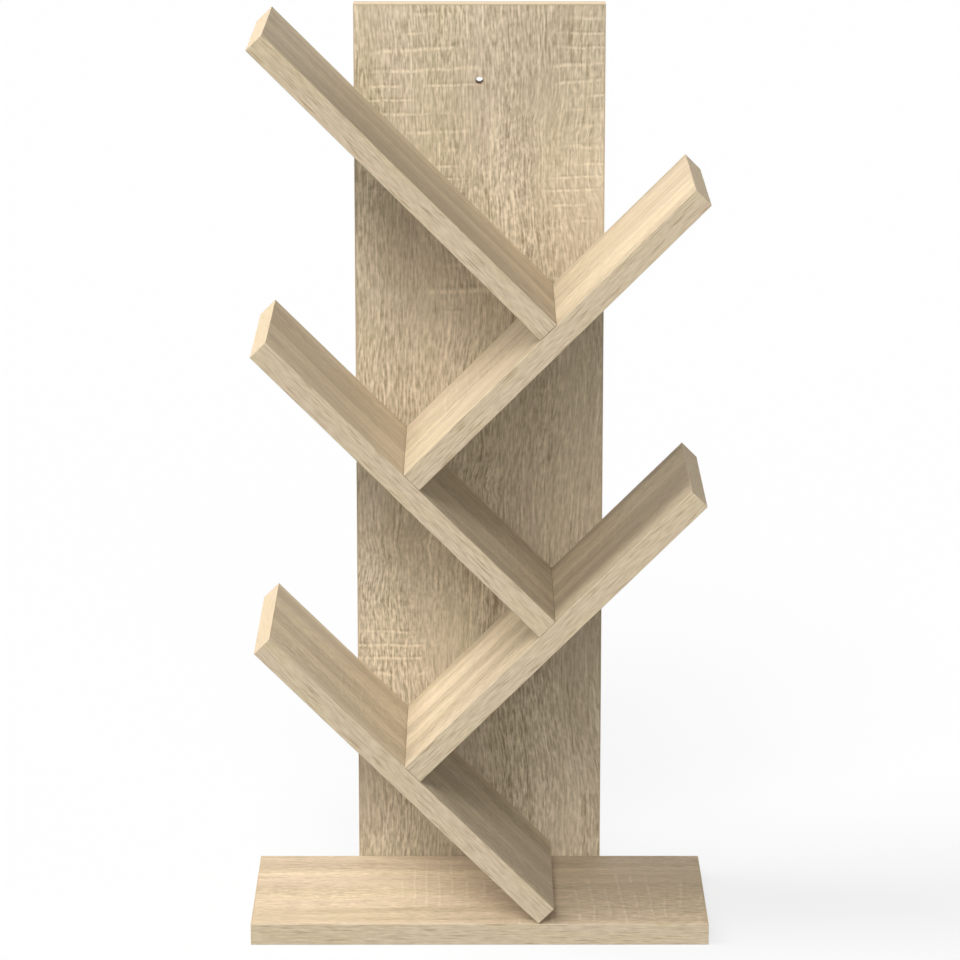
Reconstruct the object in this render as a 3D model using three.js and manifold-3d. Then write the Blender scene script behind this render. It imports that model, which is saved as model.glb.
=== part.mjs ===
// A tree shaped bookshelf: one upright back panel, a flat base board and five shelves
// that lean 45 degrees, left and right in turn. Each shelf's lower end stands square on
// the top face of the next shelf down. The boards are faced particle board with an edge
// band on every edge that shows, joined by furniture screws and wooden dowels.
//
// Millimetres, +Z up. The origin is the middle of the outline on the floor, and the
// front faces -Y.
import * as THREE from "three";
import { mergeVertices } from "three/addons/utils/BufferGeometryUtils.js";
import Module from "manifold-3d";

// Overall sizes
const unitHeight = 800;
const unitDepth = 200;
const baseWidth = 400;
const panelWidth = 220;

// Boards
const boardThickness = 19;
const bandThickness = 0.8;
const glueLine = 0.1;
const jointGap = 0.3;

// Shelves: all five are one size, and the top one's tip stays just below the panel's top.
// Square-cut ends fit because a left and a right shelf stand at right angles.
const shelfLength = 347;
const tipDrop = 1.9;
const lean = Math.PI / 4;

// Hole for the screw that holds the unit to a wall
const wallHoleWidth = 6.5;
const wallHoleDrop = 67;

// Furniture screws
const screwLength = 50;
const screwHeadWidth = 10;
const screwHeadRim = 0.6;
const screwHeadHeight = 3.6;
const screwCollarWidth = 7;
const screwCollarLength = 15;
const screwThreadWidth = 6;
const screwTipWidth = 2.4;
const screwTipLength = 4;
const screwRecess = 0.4;
const socketAcross = 4;
const socketDepth = 2.8;
const boreClearance = 0.3;

// Wooden dowels
const dowelWidth = 8;
const dowelLength = 30;
const dowelInPanelShare = 0.63;
const dowelChamfer = 0.8;
const dowelEndRoom = 1.5;

// How far a cutting tool runs past the face it opens
const overrun = 2;

// Places of the fixings, as shares of the length that they hold
const shelfScrewShares = [0.2, 0.8];
const shelfDowelShare = 0.5;
const endScrewShares = [0.25, 0.7];
const baseScrewShares = [-0.36, 0, 0.36];
const baseDowelShares = [-0.18, 0.18];

// Facets round a turned piece, a bore and a hex socket
const turnedSides = 12;
const holeSides = 16;
const socketSides = 6;

// The shelves from the floor up: side 1 rises to the right, side -1 to the left.
// "carries" says that the next shelf up stands on this one.
const shelves = [
  { name: "shelf_left_bottom", side: -1, carries: true },
  { name: "shelf_right_bottom", side: 1, carries: true },
  { name: "shelf_left_middle", side: -1, carries: true },
  { name: "shelf_right_top", side: 1, carries: true },
  { name: "shelf_left_top", side: -1, carries: false },
];

// Places that follow from the sizes above
const backFace = unitDepth / 2;
const panelFace = backFace - boardThickness;
const frontFace = -unitDepth / 2;
const boardMiddle = -boardThickness / 2;
const bandBuild = bandThickness + glueLine;
const coreFront = frontFace + bandBuild;
const jointFace = panelFace - jointGap;
const coreBack = jointFace - bandBuild;
const shelfDepth = jointFace - frontFace;
const firstToe = boardThickness + jointGap + boardThickness * Math.cos(lean);
const lastToe = unitHeight - tipDrop - shelfLength * Math.sin(lean);
const shelfRise = (lastToe - firstToe) / (shelves.length - 1);
const toeReach = (shelfRise - jointGap * Math.SQRT2) / 2;
const landing = (2 * toeReach + shelfRise) * Math.cos(lean) - boardThickness / 2;
const panelCrossing = (toeReach + panelWidth / 2) / Math.cos(lean);
const toeScrewHead = boardThickness + jointGap - screwRecess;
const dowelInPanel = dowelInPanelShare * boardThickness;

const wasm = await Module();
wasm.setup();

const finishes = {
  board: { color: 0xcdb48c, roughness: 0.55, metalness: 0 },
  band: { color: 0xd6bf97, roughness: 0.5, metalness: 0 },
  steel: { color: 0xb9bcc0, roughness: 0.35, metalness: 1 },
  beech: { color: 0xd8b98a, roughness: 0.7, metalness: 0 },
};

function pieceOf(name, geometry, finish) {
  const mesh = new THREE.Mesh(geometry, new THREE.MeshStandardMaterial(finishes[finish]));
  mesh.name = name;
  return mesh;
}

// A closed geometry as a solid that can be cut
function solidOf(geometry) {
  const bare = geometry.clone();
  bare.deleteAttribute("normal");
  bare.deleteAttribute("uv");
  const merged = mergeVertices(bare);
  return new wasm.Manifold(
    new wasm.Mesh({
      numProp: 3,
      vertProperties: merged.attributes.position.array,
      triVerts: new Uint32Array(merged.index.array),
    }),
  );
}

function geometryOf(solid) {
  const cut = solid.getMesh();
  const geometry = new THREE.BufferGeometry();
  geometry.setAttribute("position", new THREE.BufferAttribute(cut.vertProperties, 3));
  geometry.setIndex(new THREE.BufferAttribute(cut.triVerts, 1));
  geometry.computeVertexNormals();
  return geometry;
}

function subtract(geometry, tools) {
  const solid = tools.reduce((left, tool) => left.subtract(solidOf(tool)), solidOf(geometry));
  return geometryOf(solid);
}

// A box between two corners
function blockBetween(low, high) {
  const size = high.clone().sub(low);
  const middle = high.clone().add(low).multiplyScalar(1 / 2);
  const block = new THREE.BoxGeometry(size.x, size.y, size.z);
  return block.translate(middle.x, middle.y, middle.z);
}

// The screw's outline from its tip up to its head, grown by a clearance and run past
// the head's face when it is the tool that makes the screw's bore
function screwOutline(grow = 0, past = 0) {
  const head = screwHeadWidth / 2 + grow;
  const collar = screwCollarWidth / 2 + grow;
  const thread = screwThreadWidth / 2 + grow;
  const tip = screwTipWidth / 2 + grow;
  return [
    new THREE.Vector2(0, -screwLength - grow),
    new THREE.Vector2(tip, -screwLength - grow),
    new THREE.Vector2(thread, -screwLength + screwTipLength),
    new THREE.Vector2(thread, -screwCollarLength - grow),
    new THREE.Vector2(collar, -screwCollarLength - grow),
    new THREE.Vector2(collar, -screwHeadHeight),
    new THREE.Vector2(head, -screwHeadRim),
    new THREE.Vector2(head, past),
    new THREE.Vector2(0, past),
  ];
}

function screwShape() {
  const corner = socketAcross / Math.sqrt(3);
  const socket = new THREE.CylinderGeometry(
    corner,
    corner,
    socketDepth + overrun,
    socketSides,
  );
  socket.translate(0, (overrun - socketDepth) / 2, 0);
  return subtract(new THREE.LatheGeometry(screwOutline(), turnedSides), [socket]);
}

function screwBore() {
  return new THREE.LatheGeometry(
    screwOutline(boreClearance, screwRecess + overrun),
    turnedSides,
  );
}

// A dowel along Y with its end in the panel towards +Y
function dowelShape() {
  const back = dowelInPanel;
  const front = dowelInPanel - dowelLength;
  const side = dowelWidth / 2;
  return new THREE.LatheGeometry(
    [
      new THREE.Vector2(0, front),
      new THREE.Vector2(side - dowelChamfer, front),
      new THREE.Vector2(side, front + dowelChamfer),
      new THREE.Vector2(side, back - dowelChamfer),
      new THREE.Vector2(side - dowelChamfer, back),
      new THREE.Vector2(0, back),
    ],
    turnedSides,
  );
}

function dowelBore() {
  const radius = dowelWidth / 2 + boreClearance;
  const length = dowelLength + 2 * dowelEndRoom;
  const bore = new THREE.CylinderGeometry(radius, radius, length, turnedSides);
  return bore.translate(0, dowelInPanel - dowelLength / 2, 0);
}

// Where a fixing of the back panel stands at (x, z): a screw's head face just inside the
// panel's back, and the point of a dowel that lies level with the panel's front face
function backScrewPlace({ x, z }) {
  return new THREE.Vector3(x, backFace - screwRecess, z);
}

function dowelPlace({ x, z }) {
  return new THREE.Vector3(x, panelFace, z);
}

// Tools that drill for those fixings, in the world
function backTools(screwSpots, dowelSpots) {
  return [
    ...screwSpots.map((spot) => screwBore().translate(...backScrewPlace(spot))),
    ...dowelSpots.map((spot) => dowelBore().translate(...dowelPlace(spot))),
  ];
}

// Shelf places are given along the shelf from its toe, across it on Y, and above its top
// face. A shelf's own group stands at its toe and turns these into world places.
function shelfGroup(level, side) {
  const group = new THREE.Group();
  group.position.set(-side * toeReach, 0, firstToe + level * shelfRise);
  group.rotation.y = -side * lean;
  group.updateMatrixWorld(true);
  return group;
}

// The middle of a shelf's back edge at a share of its way across the panel, in the world
function backSpot(group, side, share) {
  const along = share * panelCrossing;
  return group.localToWorld(new THREE.Vector3(side * along, 0, boardMiddle));
}

function blockAlong(side, fromAlong, toAlong, fromY, toY) {
  return blockBetween(
    new THREE.Vector3(Math.min(side * fromAlong, side * toAlong), fromY, -boardThickness),
    new THREE.Vector3(Math.max(side * fromAlong, side * toAlong), toY, 0),
  );
}

// The places on Y at which the screws of a shelf-to-shelf joint stand
function endScrewSpots() {
  return endScrewShares.map((share) => frontFace + share * shelfDepth);
}

// Tools that drill a shelf's end for the screws that come up through the shelf below
function toeTools(side, level) {
  const spots = level > 0 ? endScrewSpots() : [];
  return spots.map((y) =>
    screwBore()
      .rotateZ((side * Math.PI) / 2)
      .translate(-side * toeScrewHead, y, boardMiddle),
  );
}

// Tools that drill a shelf from below for the screws into the end of the shelf above
function landingTools(side, carries) {
  const spots = carries ? endScrewSpots() : [];
  return spots.map((y) =>
    screwBore()
      .rotateX(-Math.PI / 2)
      .translate(side * landing, y, screwRecess - boardThickness),
  );
}

// Tools that drill a shelf's back edge, moved from the world into the shelf's own frame
function backEdgeTools(group, screwSpots, dowelSpots) {
  const toGroup = group.matrixWorld.clone().invert();
  return backTools(screwSpots, dowelSpots).map((tool) => tool.applyMatrix4(toGroup));
}

// The bands on a shelf's edges. A toe that stands on another shelf is left bare, and the
// back band is drilled with the board behind it.
function shelfBands(name, side, level, backEdge) {
  const endFrom = shelfLength - bandThickness;
  const end = blockAlong(side, endFrom, shelfLength, coreFront, coreBack);
  const front = blockAlong(side, 0, shelfLength, frontFace, frontFace + bandThickness);
  const back = blockAlong(side, 0, shelfLength, jointFace - bandThickness, jointFace);
  const bands = [
    pieceOf(name + "_end_band", end, "band"),
    pieceOf(name + "_front_band", front, "band"),
    pieceOf(name + "_back_band", subtract(back, backEdge), "band"),
  ];
  if (level === 0) {
    const toe = blockAlong(side, 0, bandThickness, coreFront, coreBack);
    bands.push(pieceOf(name + "_toe_band", toe, "band"));
  }
  return bands;
}

function toeScrews(name, side, level) {
  const spots = level > 0 ? endScrewSpots() : [];
  return spots.map((y, i) => {
    const screw = pieceOf(name + "_toe_screw_" + (i + 1), screwShape(), "steel");
    screw.position.set(-side * toeScrewHead, y, boardMiddle);
    screw.rotation.z = (side * Math.PI) / 2;
    return screw;
  });
}

function buildShelf({ name, side, carries }, level) {
  const group = shelfGroup(level, side);
  const screwSpots = shelfScrewShares.map((share) => backSpot(group, side, share));
  const dowelSpots = [backSpot(group, side, shelfDowelShare)];
  const coreToe = level > 0 ? 0 : bandBuild;
  const core = blockAlong(side, coreToe, shelfLength - bandBuild, coreFront, coreBack);
  const backEdge = backEdgeTools(group, screwSpots, dowelSpots);
  const tools = [...backEdge, ...toeTools(side, level), ...landingTools(side, carries)];
  const board = pieceOf(name, subtract(core, tools), "board");
  const bands = shelfBands(name, side, level, backEdge);
  group.add(board, ...bands, ...toeScrews(name, side, level));
  return { group, screwSpots, dowelSpots };
}

// Two bands on the left and right edges of a board that is centred on X
function sideBands(name, half, fromY, toY, height) {
  const left = blockBetween(
    new THREE.Vector3(-half, fromY, 0),
    new THREE.Vector3(bandThickness - half, toY, height),
  );
  const right = blockBetween(
    new THREE.Vector3(half - bandThickness, fromY, 0),
    new THREE.Vector3(half, toY, height),
  );
  return [
    pieceOf(name + "_left_band", left, "band"),
    pieceOf(name + "_right_band", right, "band"),
  ];
}

function buildBase() {
  const height = boardThickness;
  const half = baseWidth / 2;
  const spotAt = (share) => ({ x: share * panelWidth, z: height / 2 });
  const screwSpots = baseScrewShares.map(spotAt);
  const dowelSpots = baseDowelShares.map(spotAt);
  const tools = backTools(screwSpots, dowelSpots);
  const core = blockBetween(
    new THREE.Vector3(bandBuild - half, coreFront, 0),
    new THREE.Vector3(half - bandBuild, coreBack, height),
  );
  const frontBand = blockBetween(
    new THREE.Vector3(-half, frontFace, 0),
    new THREE.Vector3(half, frontFace + bandThickness, height),
  );
  const backBand = blockBetween(
    new THREE.Vector3(-half, jointFace - bandThickness, 0),
    new THREE.Vector3(half, jointFace, height),
  );
  const pieces = [
    pieceOf("base_board", subtract(core, tools), "board"),
    pieceOf("base_front_band", frontBand, "band"),
    pieceOf("base_back_band", subtract(backBand, tools), "band"),
    ...sideBands("base", half, coreFront, coreBack, height),
  ];
  return { pieces, screwSpots, dowelSpots };
}

function buildPanel(screwSpots, dowelSpots) {
  const half = panelWidth / 2;
  const coreTop = unitHeight - bandBuild;
  const core = blockBetween(
    new THREE.Vector3(bandBuild - half, panelFace, 0),
    new THREE.Vector3(half - bandBuild, backFace, coreTop),
  );
  const holeRadius = wallHoleWidth / 2;
  const holeLength = boardThickness + 2 * overrun;
  const wallHole = new THREE.CylinderGeometry(holeRadius, holeRadius, holeLength, holeSides);
  wallHole.translate(0, (panelFace + backFace) / 2, unitHeight - wallHoleDrop);
  const tools = [...backTools(screwSpots, dowelSpots), wallHole];
  const topBand = blockBetween(
    new THREE.Vector3(-half, panelFace, unitHeight - bandThickness),
    new THREE.Vector3(half, backFace, unitHeight),
  );
  return [
    pieceOf("back_panel", subtract(core, tools), "board"),
    pieceOf("panel_top_band", topBand, "band"),
    ...sideBands("panel", half, panelFace, backFace, coreTop),
  ];
}

function buildBackFixings(label, screwSpots, dowelSpots) {
  const screws = screwSpots.map((spot, i) => {
    const screw = pieceOf(label + "_back_screw_" + (i + 1), screwShape(), "steel");
    screw.position.copy(backScrewPlace(spot));
    return screw;
  });
  const dowels = dowelSpots.map((spot, i) => {
    const dowel = pieceOf(label + "_dowel_" + (i + 1), dowelShape(), "beech");
    dowel.position.copy(dowelPlace(spot));
    return dowel;
  });
  return [...screws, ...dowels];
}

function buildBookshelf() {
  const bookshelf = new THREE.Group();
  const base = buildBase();
  const built = shelves.map(buildShelf);
  bookshelf.add(...base.pieces);
  bookshelf.add(...buildBackFixings("base", base.screwSpots, base.dowelSpots));
  built.forEach(({ group, screwSpots, dowelSpots }, level) => {
    bookshelf.add(group);
    bookshelf.add(...buildBackFixings(shelves[level].name, screwSpots, dowelSpots));
  });
  const fixed = [base, ...built];
  const screwSpots = fixed.flatMap((part) => part.screwSpots);
  const dowelSpots = fixed.flatMap((part) => part.dowelSpots);
  bookshelf.add(...buildPanel(screwSpots, dowelSpots));
  return bookshelf;
}

export default buildBookshelf();
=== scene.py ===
# %% [markdown]
# A tree shaped bookshelf
#
# Seven faced boards make this bookshelf: an upright panel, a base and five shelves that lean
# left and right in turn, like branches. This lesson loads the measured model as a fixed
# frame, then gives each piece its fine shape and its finish: the printed oak faces, the
# edging, the screws and the dowels.

# %% Load the measured model
import math

import bmesh
import bpy
from mathutils import Matrix, Vector


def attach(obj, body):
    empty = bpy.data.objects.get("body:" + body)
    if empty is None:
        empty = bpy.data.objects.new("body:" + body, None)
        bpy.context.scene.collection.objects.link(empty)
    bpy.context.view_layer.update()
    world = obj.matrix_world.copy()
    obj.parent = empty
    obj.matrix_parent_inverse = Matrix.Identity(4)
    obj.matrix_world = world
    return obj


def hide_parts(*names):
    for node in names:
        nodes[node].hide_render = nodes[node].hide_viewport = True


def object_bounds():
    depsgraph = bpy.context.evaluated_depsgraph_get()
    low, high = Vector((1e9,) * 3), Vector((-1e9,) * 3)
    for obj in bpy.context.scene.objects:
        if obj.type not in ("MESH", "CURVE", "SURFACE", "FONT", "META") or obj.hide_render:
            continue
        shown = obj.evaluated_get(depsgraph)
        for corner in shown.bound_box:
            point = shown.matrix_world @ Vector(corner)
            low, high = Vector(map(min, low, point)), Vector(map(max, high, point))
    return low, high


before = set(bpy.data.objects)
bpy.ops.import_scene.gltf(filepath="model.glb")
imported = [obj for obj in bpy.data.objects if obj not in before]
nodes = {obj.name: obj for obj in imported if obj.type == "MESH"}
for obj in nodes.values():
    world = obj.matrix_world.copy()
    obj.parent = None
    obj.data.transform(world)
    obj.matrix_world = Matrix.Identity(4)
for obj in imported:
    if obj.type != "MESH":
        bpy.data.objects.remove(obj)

MM = 0.001
cad_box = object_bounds()
print("loaded", len(nodes), "nodes, height", round(cad_box[1].z / MM, 1), "mm")

# %% [markdown]
# The camera
#
# The picture was taken from straight in front and a little above, with a long lens, so the
# boards keep nearly parallel edges. A long lens far away gives that. A short lens near the
# shelf would make the base look much larger than the top, so this camera stands well back
# and tilts down until the whole bookshelf fills the frame.

# %% Place the camera
SENSOR_WIDTH = 36.0
LENS = 153.97
EYE = Vector((-3.1, -3482.7, 1261.9)) * MM
TILT_DOWN = math.radians(14)
TURN_RIGHT = 0.001


def place_camera():
    view = bpy.data.cameras.new("camera")
    view.sensor_width = SENSOR_WIDTH
    view.lens = LENS
    view.dof.use_dof = False
    camera = bpy.data.objects.new("camera", view)
    camera.location = EYE
    camera.rotation_euler = (math.pi / 2 - TILT_DOWN, 0, -TURN_RIGHT)
    bpy.context.collection.objects.link(camera)
    bpy.context.scene.camera = camera
    return camera


camera = place_camera()
print("camera stands", round(camera.location.length, 2), "m away")

# %% [markdown]
# Helpers for materials
#
# Every finish below is a small network of nodes. Writing each node out takes several lines,
# so one helper adds a node, sets its options and fills its inputs. A value that is a socket
# becomes a link, and anything else becomes the input's own value. The next ones do sums with
# two numbers, blend two colours, and tell what is looked at from what only light meets.

# %% Define the helpers that add nodes
def fill_input(tree, socket, value):
    if isinstance(value, bpy.types.NodeSocket):
        tree.links.new(value, socket)
    else:
        socket.default_value = value


def add_node(tree, kind, values=None, **options):
    node = tree.nodes.new(kind)
    for option, value in options.items():
        setattr(node, option, value)
    for key, value in (values or {}).items():
        fill_input(tree, node.inputs[key], value)
    return node


def combine(tree, operation, first, second=0.0):
    return add_node(tree, "ShaderNodeMath", {0: first, 1: second}, operation=operation).outputs[0]


def blend_colours(tree, share, first, second, blend_type="MIX"):
    mix = add_node(tree, "ShaderNodeMix", data_type="RGBA", blend_type=blend_type)
    inputs = [socket for socket in mix.inputs if socket.enabled]
    for socket, value in zip(inputs, (share, first, second)):
        fill_input(tree, socket, value)
    return next(socket for socket in mix.outputs if socket.enabled)


def seen_directly(tree):
    """One where a camera, glossy or transmission ray looks, zero for the light's own paths."""
    path = add_node(tree, "ShaderNodeLightPath").outputs
    looks = combine(tree, "MAXIMUM", path["Is Camera Ray"], path["Is Glossy Ray"])
    return combine(tree, "MAXIMUM", looks, path["Is Transmission Ray"])


# %% [markdown]
# Light
#
# The picture has the shading of a small studio with soft lamps. A large one high on the left
# lights the shelves' ends and the sides that face left and up. A second one in front, a
# little to the left, lights the panel and throws the soft shadows under each shelf. A broad
# fill straight in front reaches the edges that face the camera, a weak one on the right
# lifts the dark sides, and a lamp behind keeps the back readable. A sun lamp lights every
# board at the same level wherever it stands, and its angle sets how soft the shadows are, so
# five of them make the studio. The level is the share of its own colour that a surface shows
# when it faces the lamp.
#
# The world adds a faint glow. What the camera itself sees of the world is plain white, set
# apart from the glow by the Light Path node, so the white background puts no extra light on
# the boards.

# %% Light the room
# name, degrees round from the front, degrees above the floor, level, spread in degrees
LAMPS = [
    ("left window", -88, 50, 0.872, 34),
    ("front softbox", -12, 45, 0.425, 24),
    ("front fill", 0, 2, 0.43, 60),
    ("right fill", 60, 20, 0.05, 50),
    ("back fill", 180, 2, 0.38, 50),
]
GLOW_LEVEL = 0.17
WHITE = (1.0, 1.0, 1.0, 1.0)


def place_lamp(name, around, above, level, spread):
    around, above = math.radians(around), math.radians(above)
    to_lamp = Vector((math.sin(around) * math.cos(above),
                      -math.cos(around) * math.cos(above), math.sin(above)))
    lamp = bpy.data.lights.new(name, "SUN")
    lamp.energy = math.pi * level
    lamp.angle = math.radians(spread)
    light = bpy.data.objects.new(name, lamp)
    light.rotation_euler = to_lamp.to_track_quat("Z", "Y").to_euler()
    bpy.context.collection.objects.link(light)


def fill_with_glow():
    world = bpy.data.worlds.new("glow")
    bpy.context.scene.world = world
    world.use_nodes = True
    tree = world.node_tree
    tree.nodes.clear()
    levels = {"Value": seen_directly(tree), "To Min": GLOW_LEVEL, "To Max": 1.0}
    strength = add_node(tree, "ShaderNodeMapRange", levels).outputs[0]
    light = add_node(tree, "ShaderNodeBackground", {"Color": WHITE, "Strength": strength})
    add_node(tree, "ShaderNodeOutputWorld", {"Surface": light.outputs[0]})


for lamp in LAMPS:
    place_lamp(*lamp)
fill_with_glow()
bpy.context.scene.view_settings.view_transform = "Standard"
print("lamps:", [lamp[0] for lamp in LAMPS])

# %% [markdown]
# The floor
#
# The bookshelf stands on a plain white floor. A floor that is only white paint would throw
# too much light back up under the shelves, so the light's own paths meet a duller grey, and
# the camera sees white with a pale share of the object's shadow. From below, the floor is
# left clear, so that the underside can be looked at. The base lies so close that its
# underside would still be black there, so light paths that start within a millimetre of the
# floor pass through it to the glow.

# %% Lay the floor
FLOOR_SIDE = 40.0
FLOOR_DROP = 0.1 * MM
FLOOR_NEAR = 1 * MM
FLOOR_PAINT = (0.78, 0.78, 0.78, 1.0)
FLOOR_BOUNCE = (0.18, 0.18, 0.18, 1.0)
SHADOW_HELD_BACK = 0.75


def floor_finish():
    material = bpy.data.materials.new("white floor")
    material.use_nodes = True
    tree = material.node_tree
    tree.nodes.clear()
    seen = seen_directly(tree)
    paint = blend_colours(tree, seen, FLOOR_BOUNCE, FLOOR_PAINT)
    matt = add_node(tree, "ShaderNodeBsdfDiffuse", {"Color": paint}).outputs[0]
    glow = add_node(tree, "ShaderNodeEmission", {"Color": WHITE, "Strength": 1.0}).outputs[0]
    held_back = combine(tree, "MULTIPLY", seen, SHADOW_HELD_BACK)
    top = add_node(tree, "ShaderNodeMixShader", {0: held_back, 1: matt, 2: glow}).outputs[0]
    clear = add_node(tree, "ShaderNodeBsdfTransparent").outputs[0]
    from_below = add_node(tree, "ShaderNodeNewGeometry").outputs["Backfacing"]
    length = add_node(tree, "ShaderNodeLightPath").outputs["Ray Length"]
    from_near = combine(tree, "LESS_THAN", length, FLOOR_NEAR)
    passes = combine(tree, "MAXIMUM", from_below, from_near)
    both = add_node(tree, "ShaderNodeMixShader", {0: passes, 1: top, 2: clear}).outputs[0]
    add_node(tree, "ShaderNodeOutputMaterial", {"Surface": both})
    return material


def lay_floor():
    shape = bmesh.new()
    bmesh.ops.create_grid(shape, x_segments=1, y_segments=1, size=FLOOR_SIDE / 2)
    bmesh.ops.translate(shape, vec=(0, 0, -FLOOR_DROP), verts=shape.verts)
    mesh = bpy.data.meshes.new("floor")
    shape.to_mesh(mesh)
    shape.free()
    mesh.materials.append(floor_finish())
    floor = bpy.data.objects.new("floor", mesh)
    bpy.context.collection.objects.link(floor)


lay_floor()
print("floor of", FLOOR_SIDE, "m laid")

# %% [markdown]
# The printed oak face
#
# The boards are particle board under a printed oak film. Close up, the print has several
# layers: wide bands with a thin dark line where they meet, broad soft streaks, a mass of fine
# strokes where the pores are, short flecks between them, a few long pale and dark lines, and
# patches of pale cross lines that imitate rough sawing. The grain also flows sideways, and in
# some places it curls. An image could show this, but noise that is stretched along the grain
# can do the same at any size, so each layer is a noise of its own. One group holds them all,
# and the panel, the shelves and the base use it with their own strengths.
#
# The group reads the place on the board from an attribute of the mesh, called grain: how
# far across the grain, how far along it, and how deep in the board, in metres. Each noise
# below has a size, written as grains to the metre in those three directions, and the layers
# that could look alike are shifted apart.

# %% Build the oak group
NUMBER = "NodeSocketFloat"
COLOUR = "NodeSocketColor"
PLACE = "NodeSocketVector"

FLOW_GRAINS = (5.0, 4.0, 5.0)
CURL_GRAINS = (9.0, 13.0, 9.0)
BAND_GRAINS = (26.0, 1.1, 20.0)
STREAK_GRAINS = (60.0, 2.0, 20.0)
PORE_GRAINS = (600.0, 75.0, 60.0)
FLECK_GRAINS = (380.0, 190.0, 60.0)
BUSY_GRAINS = (20.0, 6.0, 9.0)
NARROW_GRAINS = (240.0, 9.0, 40.0)
PALE_LINE_GRAINS = (420.0, 11.0, 30.0)
DARK_LINE_GRAINS = (380.0, 14.0, 30.0)
HUE_GRAINS = (42.0, 5.0, 15.0)

SEAM_DEPTH = -1.2
PORE_WEIGHT = 0.26
FLECK_WEIGHT = 0.14
FLECKS_BY_CURL = 5.0
NARROW_WEIGHT = 0.28
PALE_LINE_TONE = 0.24
DARK_LINE_TONE = -0.26
MIDDLE_TONE = 0.5

SAW_ROWS_PER_METRE = 72.0
UNEVEN_ROWS = 4.0
WOBBLE = 0.25
PALE_ROW, PALE_ROW_HALF = 0.5, 0.13
DARK_ROW, DARK_ROW_HALF = 0.7, 0.1
DARK_ROW_TONE = -0.16
SAWN_TONE = 0.05
SAWN_COLOUR = (0.88, 0.74, 0.54, 1.0)
GREENISH = (0.995, 1.003, 0.975, 1.0)
ROSY = (1.005, 0.995, 1.025, 1.0)


def new_group(name, inputs, outputs):
    group = bpy.data.node_groups.new(name, "ShaderNodeTree")
    for label, kind in inputs:
        group.interface.new_socket(label, in_out="INPUT", socket_type=kind)
    for label, kind in outputs:
        group.interface.new_socket(label, in_out="OUTPUT", socket_type=kind)
    return group


def noise(tree, place, per_metre, detail=2.0, shift=0.0):
    """Noise whose grains are 1 / per_metre long across, along and through the board."""
    scaled = add_node(tree, "ShaderNodeVectorMath", {0: place, 1: per_metre},
                      operation="MULTIPLY").outputs[0]
    moved = add_node(tree, "ShaderNodeVectorMath", {0: scaled, 1: (shift, shift, shift)},
                     operation="ADD").outputs[0]
    values = {"Vector": moved, "Scale": 1.0, "Detail": detail, "Roughness": 0.5}
    return add_node(tree, "ShaderNodeTexNoise", values).outputs[0]


def between(tree, value, low, high, to_low=0.0, to_high=1.0):
    """Turns low..high of a value into to_low..to_high, and holds it there beyond."""
    values = {"Value": value, "From Min": low, "From Max": high,
              "To Min": to_low, "To Max": to_high}
    return add_node(tree, "ShaderNodeMapRange", values, clamp=True).outputs[0]


def added(tree, *values):
    total = values[0]
    for value in values[1:]:
        total = combine(tree, "ADD", total, value)
    return total


def times(tree, *values):
    product = values[0]
    for value in values[1:]:
        product = combine(tree, "MULTIPLY", product, value)
    return product


def centred(tree, value, weight):
    """A noise about zero, times a weight."""
    return times(tree, combine(tree, "SUBTRACT", value, 0.5), weight)


def drift(tree, place, per_metre, reach, shift=0.0):
    """How far to move sideways, so that straight grain flows in curves."""
    return times(tree, centred(tree, noise(tree, place, per_metre, 1.5, shift), 1.0), reach)


def moved_aside(tree, place, *distances):
    offset = add_node(tree, "ShaderNodeCombineXYZ", {"X": added(tree, *distances)}).outputs[0]
    return add_node(tree, "ShaderNodeVectorMath", {0: place, 1: offset},
                    operation="ADD").outputs[0]


def line_at(tree, value, level, half_width):
    """One where the value passes the level, zero beyond the half width."""
    away = combine(tree, "ABSOLUTE", combine(tree, "SUBTRACT", value, level))
    return between(tree, away, 0.0, half_width, 1.0, 0.0)


def print_tone(tree, place, flow, given):
    """Light and dark of the print, about 0.5."""
    zones = noise(tree, flow, BAND_GRAINS, shift=61.0)
    seams = times(tree, line_at(tree, zones, 0.52, 0.012), SEAM_DEPTH)
    bands = added(tree, between(tree, zones, 0.46, 0.54, -1, 1), seams)
    bands = times(tree, bands, given["Bands"])

    streaks = centred(tree, noise(tree, flow, STREAK_GRAINS, detail=3.0), given["Streaks"])

    pores = between(tree, noise(tree, flow, PORE_GRAINS, 3.0, 7.0), 0.37, 0.63, -1, 1)
    flecks = between(tree, noise(tree, flow, FLECK_GRAINS, 2.0, 13.0), 0.3, 0.7, -1, 1)
    fleck_weight = added(tree, times(tree, given["Curl"], FLECKS_BY_CURL), FLECK_WEIGHT)
    busy = between(tree, noise(tree, place, BUSY_GRAINS, shift=11.0), 0.35, 0.65, 0.5, 1.25)
    strokes = added(tree, times(tree, pores, PORE_WEIGHT), times(tree, flecks, fleck_weight))
    strokes = times(tree, strokes, busy, given["Strokes"])

    narrow = centred(tree, noise(tree, flow, NARROW_GRAINS, shift=3.0), NARROW_WEIGHT)
    pale = noise(tree, flow, PALE_LINE_GRAINS, shift=37.0)
    pale = between(tree, pale, 0.60, 0.68, 0, PALE_LINE_TONE)
    dark = noise(tree, flow, DARK_LINE_GRAINS, shift=43.0)
    dark = between(tree, dark, 0.62, 0.70, 0, DARK_LINE_TONE)
    lines = times(tree, added(tree, narrow, pale, dark), given["Lines"])
    return added(tree, bands, streaks, strokes, lines, MIDDLE_TONE)


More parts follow.
